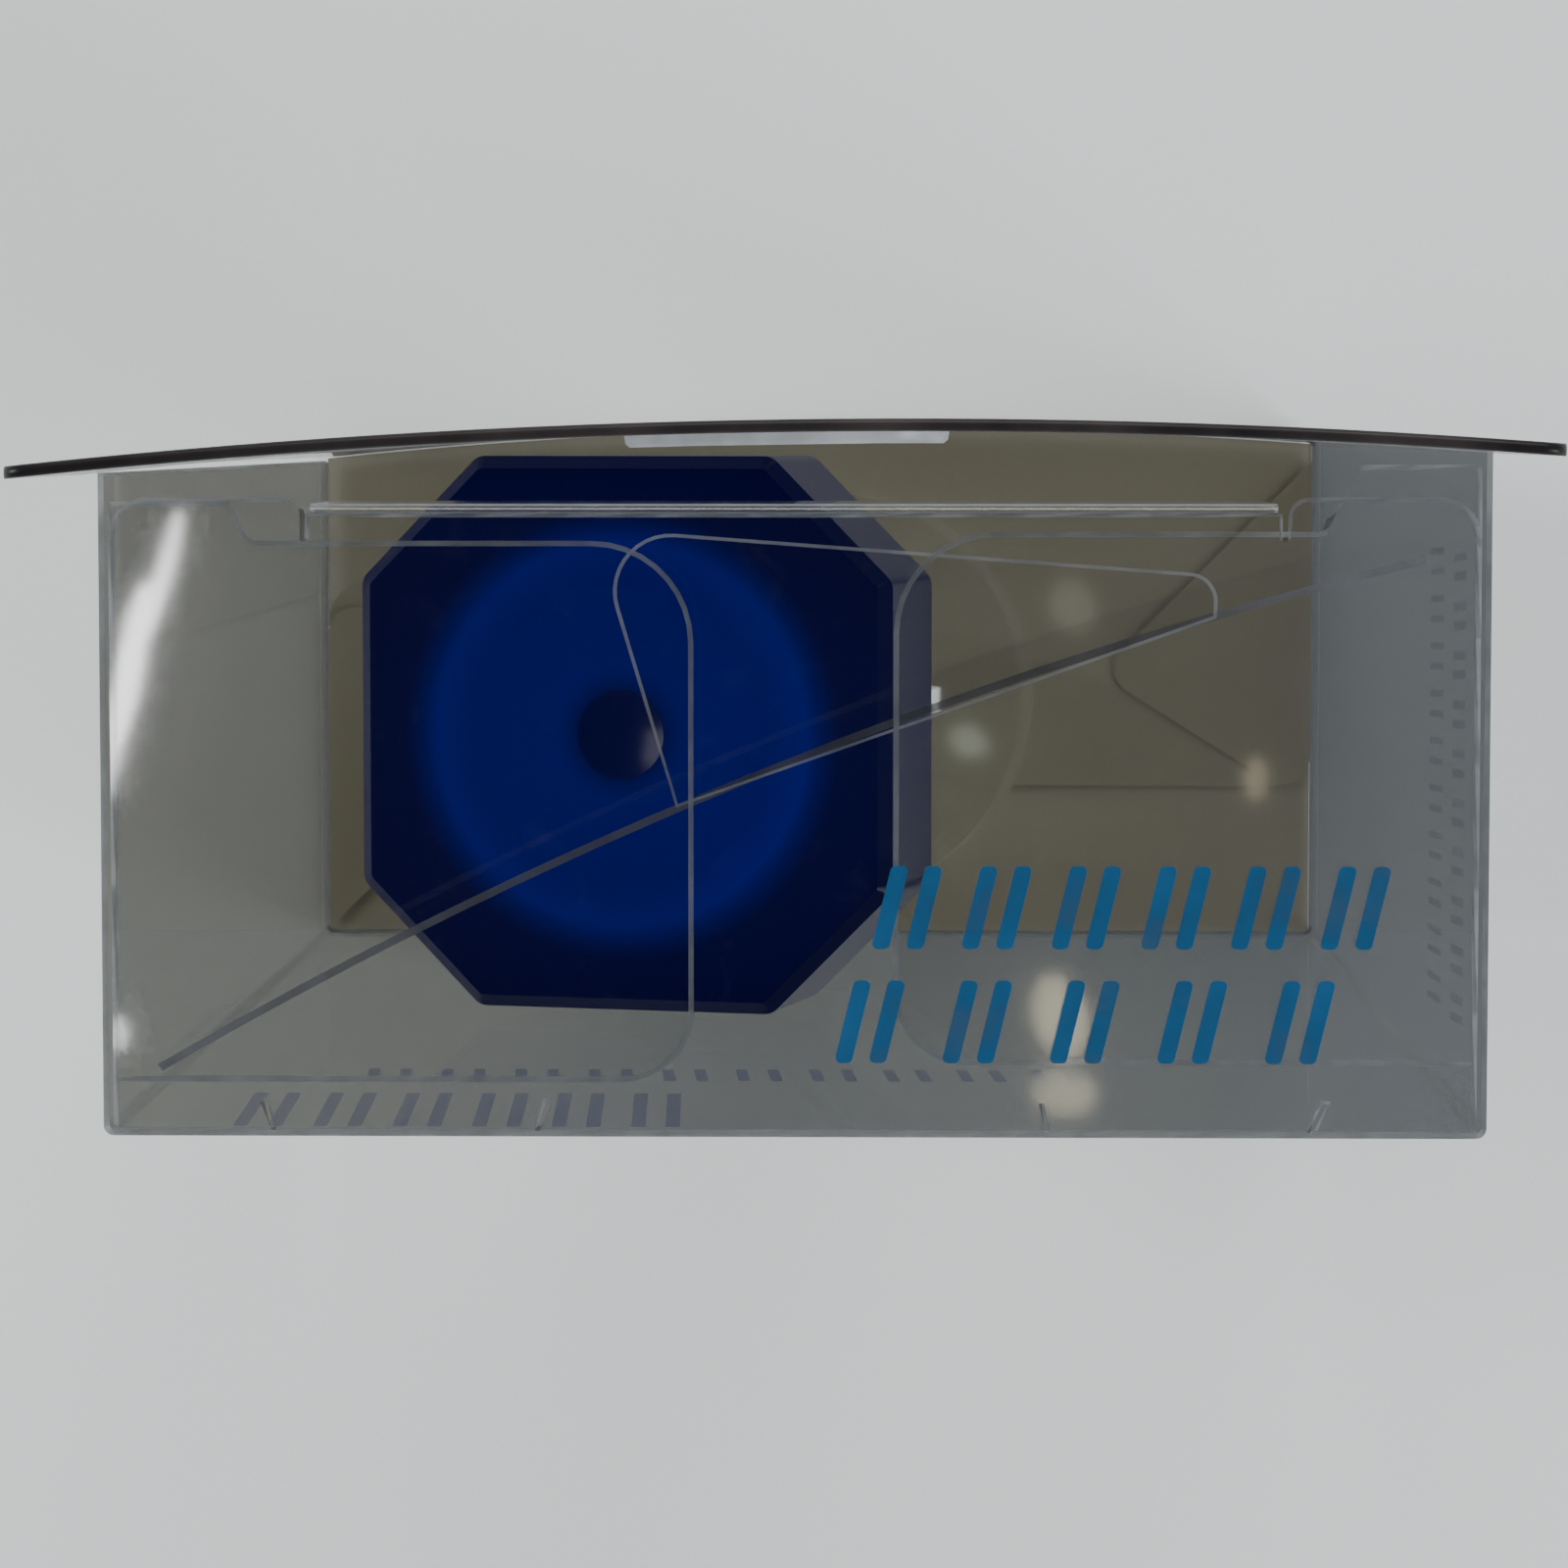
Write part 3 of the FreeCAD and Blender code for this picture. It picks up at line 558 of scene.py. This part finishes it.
vial_plastic = bpy.data.materials.new("clear vial plastic")
vial_plastic.use_nodes = True
vial_tree = vial_plastic.node_tree
vial_shader = vial_tree.nodes["Principled BSDF"]
vial_shader.inputs["Base Color"].default_value = (0.96, 0.968, 0.962, 1)
vial_shader.inputs["Roughness"].default_value = 0.06
vial_shader.inputs["IOR"].default_value = 1.10
vial_shader.inputs["Specular IOR Level"].default_value = 0.2
vial_shader.inputs["Transmission Weight"].default_value = 1.0
vial_waves = node(vial_tree, "ShaderNodeTexNoise", in_Scale=0.09, in_Detail=1.0)
vial_bump = node(vial_tree, "ShaderNodeBump", in_Strength=0.03, in_Distance=0.001)
vial_tree.links.new(case_coordinates(vial_tree), vial_waves.inputs["Vector"])
vial_tree.links.new(vial_waves.outputs["Fac"], vial_bump.inputs["Height"])
vial_tree.links.new(vial_bump.outputs["Normal"], vial_shader.inputs["Normal"])
lamp_rays = node(vial_tree, "ShaderNodeLightPath")
lamp_pass = node(vial_tree, "ShaderNodeBsdfTransparent")
lamp_pass.inputs["Color"].default_value = (0.92, 0.94, 0.95, 1)
vial_mix = node(vial_tree, "ShaderNodeMixShader")
vial_tree.links.new(lamp_rays.outputs["Is Shadow Ray"], vial_mix.inputs["Fac"])
vial_tree.links.new(vial_shader.outputs["BSDF"], vial_mix.inputs[1])
vial_tree.links.new(lamp_pass.outputs["BSDF"], vial_mix.inputs[2])
vial_tree.links.new(vial_mix.outputs["Shader"], vial_tree.nodes["Material Output"].inputs["Surface"])


def refinish(cad_node, finish):
    """The CAD piece keeps its shape and gets this finish."""
    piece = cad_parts[cad_node]
    for slot in piece.material_slots:
        slot.link = "OBJECT"
        slot.material = finish
    return piece


refinish("vial", vial_plastic)


# ---- Lens holder and baskets --------------------------------------------------------------------
# The holder hangs from the cap: a stem with a snap head, a splash disc, and a plate with a lens
# seat on each face. A slotted basket snaps over each seat, white for one eye and blue for the other.
def moulded(name, colour, roughness):
    """Solid moulded plastic with a faint flow pattern."""
    finish = bpy.data.materials.new(name)
    finish.use_nodes = True
    tree = finish.node_tree
    shader = tree.nodes["Principled BSDF"]
    shader.inputs["Roughness"].default_value = roughness
    where = case_coordinates(tree)
    flow = node(tree, "ShaderNodeTexNoise", in_Scale=0.35, in_Detail=4.0, in_Roughness=0.6)
    tree.links.new(where, flow.inputs["Vector"])
    tones = two_tones(tree, flow.outputs["Fac"], [c * 0.86 for c in colour], colour, 0.3, 0.7)
    tree.links.new(tones, shader.inputs["Base Color"])
    bump = node(tree, "ShaderNodeBump", in_Strength=0.05, in_Distance=0.0002)
    tree.links.new(flow.outputs["Fac"], bump.inputs["Height"])
    tree.links.new(bump.outputs["Normal"], shader.inputs["Normal"])
    return finish


white_plastic = moulded("white holder plastic", (0.78, 0.80, 0.80), 0.32)
refinish("lens_holder", white_plastic)
refinish("basket_door_left", white_plastic)
refinish("basket_door_right", moulded("blue basket plastic", (0.03, 0.13, 0.50), 0.28))
refinish("cap_gasket", moulded("pale silicone seal", (0.62, 0.63, 0.62), 0.55))

# ---- Screw cap ----------------------------------------------------------------------------------
# A deep blue eight-sided cap, moulded in one piece with its thread and the socket for the holder.
# The plastic is dark where it is thick. The brighter blue disc where the bore is below it is painted
# light and the darker dimple in its middle is painted shade, both set by distance from the case's axis.
cap_blue = bpy.data.materials.new("deep blue cap, painted light and shade")
cap_blue.use_nodes = True
cap_tree = cap_blue.node_tree
cap_shader = cap_tree.nodes["Principled BSDF"]
cap_shader.inputs["Roughness"].default_value = 0.22
cap_shader.inputs["Specular IOR Level"].default_value = 0.07
cap_place = case_coordinates(cap_tree)
cap_axes = node(cap_tree, "ShaderNodeSeparateXYZ")
cap_tree.links.new(cap_place, cap_axes.inputs["Vector"])
cap_flat = node(cap_tree, "ShaderNodeCombineXYZ")
cap_tree.links.new(cap_axes.outputs["X"], cap_flat.inputs["X"])
cap_tree.links.new(cap_axes.outputs["Y"], cap_flat.inputs["Y"])
cap_radius = node(cap_tree, "ShaderNodeVectorMath", operation="LENGTH")
cap_tree.links.new(cap_flat.outputs["Vector"], cap_radius.inputs[0])
CAP_REACH = 20.0            # a little past the cap's corners, where the ramp of blues ends
cap_share = node(cap_tree, "ShaderNodeMath", operation="DIVIDE")
cap_share.inputs[1].default_value = CAP_REACH
cap_tree.links.new(cap_radius.outputs["Value"], cap_share.inputs[0])
cap_painted_light_ramp = node(cap_tree, "ShaderNodeValToRGB")
# Painted shade in the dimple and painted light in the disc round it; the rim is the plastic's own blue.
DIMPLE_PAINTED_SHADE_BLUE, RIM_BLUE = (0.0002, 0.0003, 0.033, 1), (0.0002, 0.0002, 0.026, 1)
cap_blues = cap_painted_light_ramp.color_ramp.elements
cap_blues[0].color = DIMPLE_PAINTED_SHADE_BLUE
cap_blues[1].position = 0.135
cap_blues[1].color = DIMPLE_PAINTED_SHADE_BLUE
for at, painted_light_disc_blue in ((0.165, (0.0003, 0.0010, 0.074, 1)), (0.22, (0.0003, 0.0012, 0.098, 1)),
                      (0.50, (0.0003, 0.0011, 0.092, 1)), (0.62, (0.0003, 0.0018, 0.112, 1)),
                      (0.675, (0.0002, 0.0006, 0.062, 1)), (0.73, (0.0002, 0.0002, 0.031, 1))):
    cap_blues.new(at).color = painted_light_disc_blue
cap_blues.new(1.0).color = RIM_BLUE
cap_tree.links.new(cap_share.outputs["Value"], cap_painted_light_ramp.inputs["Fac"])
cap_tree.links.new(cap_painted_light_ramp.outputs["Color"], cap_shader.inputs["Base Color"])
cap_flow = node(cap_tree, "ShaderNodeTexNoise", in_Scale=0.22, in_Detail=2.0)
cap_bump = node(cap_tree, "ShaderNodeBump", in_Strength=0.05, in_Distance=0.0004)
cap_tree.links.new(cap_place, cap_flow.inputs["Vector"])
cap_tree.links.new(cap_flow.outputs["Fac"], cap_bump.inputs["Height"])
cap_tree.links.new(cap_bump.outputs["Normal"], cap_shader.inputs["Normal"])
refinish("screw_cap", cap_blue)

# ---- Spacer -------------------------------------------------------------------------------------
# A strip of the same clear sheet, bent by hand and stood on edge from the front left corner to the
# back right one, so the case can't slide up. A tongue at its top is folded flat towards the back.
spacer_sheet = clear_plastic("clear spacer film", (0.97, 0.97, 0.97), haze=0.001, scuff=0.004, mirror=0.012)
tongue_edge = cut_edge("thin spacer edge", (0.52, 0.55, 0.60), 0.50)
# Painted shade: the standing strip's top edge, under the tongue, is dark; the sheet's other cut edges are
# pale.
spacer_edge_painted_shade = cut_edge("spacer edge painted shade", (0.17, 0.175, 0.20), 0.80)
SPACER_FOOT, SPACER_TOP = 70.0, 103.0
start, through, end = Vector((-36.6, -17.2)), Vector((-6.6, -2.0)), Vector((36.0, 12.1))
a2, b2, c2 = start.length_squared, through.length_squared, end.length_squared
twist = 2 * (start.x * (through.y - end.y) + through.x * (end.y - start.y) + end.x * (start.y - through.y))
arc_centre = Vector((
    (a2 * (through.y - end.y) + b2 * (end.y - start.y) + c2 * (start.y - through.y)) / twist,
    (a2 * (end.x - through.x) + b2 * (start.x - end.x) + c2 * (through.x - start.x)) / twist))
arc_radius = (start - arc_centre).length
arc_from = math.atan2(*(start - arc_centre).yx)
arc_to = math.atan2(*(end - arc_centre).yx)


def spacer_arc(u, v, w):
    """u from 0 to 1 along the bowed sheet, w out from its back face."""
    a = arc_from + (arc_to - arc_from) * u
    r = arc_radius + SHEET / 2 + w
    return (arc_centre.x + r * math.cos(a), arc_centre.y + r * math.sin(a), v)


spacer_length = abs(arc_to - arc_from) * arc_radius
spacer_standing = cut_sheet(
    "spacer_standing", [rounded_loop([(0, SPACER_FOOT, 2), (spacer_length, SPACER_FOOT, 2),
                                      (spacer_length, SPACER_TOP, 2), (0, SPACER_TOP, 2)])],
    lambda u, v, w: spacer_arc(1 - u / spacer_length, v, w - SHEET / 2 * (w < 0)),
    (steps(0, spacer_length, 3)[1:-1], []), [spacer_sheet, spacer_edge_painted_shade], burr=0.02,
    dull=lambda u, v: v < SPACER_TOP - 0.1)
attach(spacer_standing, "carton")
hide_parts("spacer_wall")

tongue_outline = [(-6.6, -2.0, 0), (23.2, 8.5, 0), (23.4, 10.9, 1.6), (-11.3, 13.5, 3.2)]
tongue = cut_sheet("spacer_tongue", [rounded_loop(tongue_outline)],
                   lambda u, v, w: (u, v, SPACER_TOP + SHEET + w), ([], []), [spacer_sheet, tongue_edge])
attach(tongue, "carton")
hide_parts("spacer_tab")

# ---- Dust flaps ---------------------------------------------------------------------------------
# One on each side wall, folded in under the lid. Each has a shoulder at the back that the lid's
# lock slit catches, and its free corners are rounded.
flap_sheet = clear_plastic("clear flap sheet", (0.95, 0.955, 0.955), haze=0.001, scuff=0.006)
crease_line = clear_plastic("pressed crease", (0.45, 0.45, 0.46), haze=0.10, scuff=0.10, roughness=0.2,
                            mirror=0.2)
FLAP_TOP, FLAP_HINGE, FLAP_FREE = WALL_TOP - 0.4, 37.0, 5.4
FLAP_SHOULDER, FLAP_CREASE = 30.4, 0.6      # where the shoulder ends, and how wide the crease is
for side, name, cad_node, body, near, far, shoulder, step in (
        (-1, "left_flap", "dust_flap_left", "left_dust_flap", -16.5, 12.9, 15.0, 0.9),
        (1, "right_flap", "dust_flap_right", "right_dust_flap", -15.5, 13.4, 17.0, 1.7)):
    outline = [(FLAP_HINGE, near, 0), (FLAP_HINGE, shoulder, 0), (FLAP_SHOULDER, shoulder, 0.4),
               (FLAP_SHOULDER - step, far, 0.9), (FLAP_FREE, far, 5.5), (FLAP_FREE, near, 4.0)]
    if side < 0:
        outline = [(-x, y, r) for x, y, r in reversed(outline)]
    flap = cut_sheet(name, [rounded_loop(outline)], lambda u, v, w: (u, v, FLAP_TOP + w),
                     (steps(-FLAP_HINGE, FLAP_HINGE, 4)[1:-1], steps(near, shoulder, 8)[1:-1]),
                     [flap_sheet, bright_edge, crease_line],
                     crease=lambda u, v: abs(u) > FLAP_HINGE - FLAP_CREASE, burr=0.30)
    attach(flap, body)
    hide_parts(cad_node)

# ---- Lid ----------------------------------------------------------------------------------------
# Creased to the front wall. Four short slits across its crease ease the fold, and two longer ones
# at the back lock on the dust flaps' shoulders.
lid_sheet = clear_plastic("clear lid sheet", (0.94, 0.945, 0.95), haze=0.001, scuff=0.008)
LID_UNDER = WALL_TOP + 0.05
LID_HALF, HINGE_LINE, LID_FOLD, SHOULDER = 36.9, -19.25, 14.4, 15.25
LOCK_OUTER, LOCK_INNER, LOCK_END = 26.55, 26.25, 12.9       # sides and far end of the long slits
lid_right = [(LID_HALF, HINGE_LINE, 0), (LID_HALF, SHOULDER, 2.2), (LOCK_OUTER, SHOULDER, 1.1),
             (LOCK_OUTER, LOCK_END, 0), (LOCK_INNER, LOCK_END, 0), (LOCK_INNER, LID_FOLD, 0)]
lid_outline = rounded_loop(lid_right + [(-x, y, r) for x, y, r in reversed(lid_right)])
crease_slits = [[(near, -19.05), (near + 0.28, -19.05), (far + 0.28, -17.5), (far, -17.5)]
                for far, near in ((-28.9, -28.3), (-13.4, -14.0), (13.3, 13.6), (28.6, 27.8))]
crease_end = HINGE_LINE + 0.35
lid = cut_sheet("lid", [lid_outline] + crease_slits, lambda u, v, w: (u, v, LID_UNDER + SHEET + w),
                (steps(-LID_HALF, LID_HALF, 5)[1:-1], steps(HINGE_LINE, LID_FOLD, 8)[1:-1] + [crease_end]),
                [lid_sheet, bright_edge, crease_line], crease=lambda u, v: v < crease_end, burr=0.24)
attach(lid, "lid")
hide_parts("lid_panel")

# ---- Printed marks ------------------------------------------------------------------------------
# Screen-printed ink on the outside: two rows of plain blue strokes on the lid's front right quarter,
# and paler ones on the front and right walls. They are plain pattern, not writing.
def printed_ink(name, colour, cover):
    """Thin even ink with tiny pinholes and a slight change of strength."""
    finish = bpy.data.materials.new(name)
    finish.use_nodes = True
    tree = finish.node_tree
    shader = tree.nodes["Principled BSDF"]
    shader.inputs["Roughness"].default_value = 0.45
    where = node(tree, "ShaderNodeTexCoord").outputs["Object"]
    patches = node(tree, "ShaderNodeTexNoise", in_Scale=260.0, in_Detail=3.0)
    tree.links.new(where, patches.inputs["Vector"])
    tones = two_tones(tree, patches.outputs["Fac"], [c * 0.72 for c in colour], colour, 0.3, 0.7)
    tree.links.new(tones, shader.inputs["Base Color"])
    holes = node(tree, "ShaderNodeMapRange", in_1=0.30, in_2=0.42, in_3=cover * 0.85, in_4=cover)
    tree.links.new(patches.outputs["Fac"], holes.inputs["Value"])
    glow = node(tree, "ShaderNodeBsdfTranslucent")
    tree.links.new(tones, glow.inputs["Color"])
    ink = node(tree, "ShaderNodeMixShader", in_0=0.5)
    tree.links.new(shader.outputs["BSDF"], ink.inputs[1])
    tree.links.new(glow.outputs["BSDF"], ink.inputs[2])
    gaps = node(tree, "ShaderNodeBsdfTransparent")
    layer = node(tree, "ShaderNodeMixShader")
    tree.links.new(holes.outputs["Result"], layer.inputs["Fac"])
    tree.links.new(gaps.outputs["BSDF"], layer.inputs[1])
    tree.links.new(ink.outputs["Shader"], layer.inputs[2])
    tree.links.new(layer.outputs["Shader"], tree.nodes["Material Output"].inputs["Surface"])
    return finish


INK_LIFT = 0.03             # how far the ink stands off the sheet


def stroke_pairs(left, right, pairs, low, high, gap, width, slant):
    """Corners of a row of slanting strokes in pairs, from low to high, each pair gap wide at its foot."""
    pitch = (right - left) / pairs
    starts = [left + pitch * k + shift for k in range(pairs) for shift in (0, gap)]
    return [[(u, low), (u + width, low), (u + width + slant, high), (u + slant, high)] for u in starts]


def print_strokes(name, marks, place, finish, body, corner=0.3):
    """Flat strokes of ink with rounded ends, a hair above the sheet."""
    bm = bmesh.new()
    for corners in marks:
        loop = rounded_loop([(u, v, corner) for u, v in corners])
        bm.faces.new([bm.verts.new(Vector(place(u, v)) * mm) for u, v in loop])
    piece = link_piece(name, bm, finish)
    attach(piece, body)


lid_ink = printed_ink("blue lid ink", (0.001, 0.095, 0.250), 0.95)
lid_marks = stroke_pairs(4.2, 33.2, 6, -9.1, -4.6, 1.85, 0.95, 1.1)
lid_marks += stroke_pairs(2.2, 31.2, 5, -15.3, -10.8, 1.85, 0.95, 1.1)
print_strokes("lid_print", lid_marks, lambda u, v: (u, v, LID_UNDER + SHEET + INK_LIFT), lid_ink, "lid")

wall_ink = printed_ink("pale blue wall ink", (0.140, 0.200, 0.90), 0.36)
front_marks = stroke_pairs(-31.5, -5.1, 6, 92.0, 106.0, 1.9, 0.8, 0.5)
front_marks += stroke_pairs(-26.0, 18.0, 10, 81.0, 86.5, 1.9, 0.7, 0.4)
print_strokes("front_print", front_marks, lambda u, v: (u, FRONT - INK_LIFT, v), wall_ink, "carton")

side_ink = printed_ink("pale side ink", (0.14, 0.15, 0.34), 0.22)
side_marks = stroke_pairs(-15.0, 13.0, 10, 92.0, 98.0, 1.1, 0.5, 0.3)
side_marks += stroke_pairs(-15.0, 13.0, 10, 80.0, 87.0, 1.2, 0.4, 0.3)
print_strokes("side_print", side_marks, lambda u, v: (HALF_WIDTH + INK_LIFT, u, v), side_ink, "carton", 0.15)

# ---- Tuck flap ----------------------------------------------------------------------------------
# The lid's back edge turns down over a tight rounded fold and pushes in behind the dust flaps.
TUCK_FACE, TUCK_LENGTH, TUCK_HALF, FOLD_R = 14.9, 12.0, 26.0, 0.55
FOLD_CUTS, FOLD_END = [0.2, 0.4, 0.6, 0.8, 1.2], 0.9
fold_line = clear_plastic("stretched fold", (0.62, 0.63, 0.66), haze=0.06, scuff=0.10, roughness=0.15,
                          mirror=0.12)


def tuck(u, v, w):
    """v runs from the lid's edge, round the fold and down; w is outside the sheet."""
    turn = FOLD_R * math.pi / 2
    top = LID_UNDER + SHEET
    if v <= 0:
        return (u, TUCK_FACE - FOLD_R + v, top + w)
    if v <= turn:
        a = v / FOLD_R
        return (u, TUCK_FACE - FOLD_R + (FOLD_R + w) * math.sin(a),
                top - FOLD_R + (FOLD_R + w) * math.cos(a))
    return (u, TUCK_FACE + w, top - FOLD_R - (v - turn))


tuck_run = TUCK_LENGTH - FOLD_R + FOLD_R * math.pi / 2
tuck_outline = [(-TUCK_HALF, 0, 0), (TUCK_HALF, 0, 0),
                (TUCK_HALF, tuck_run, 4.0), (-TUCK_HALF, tuck_run, 4.0)]
tuck_flap = cut_sheet("tuck_flap", [rounded_loop(tuck_outline)], tuck,
                      (steps(-TUCK_HALF, TUCK_HALF, 6)[1:-1], FOLD_CUTS),
                      [flap_sheet, bright_edge, fold_line], crease=lambda u, v: v < FOLD_END)
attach(tuck_flap, "tuck_flap")
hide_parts("lid_tuck_flap")
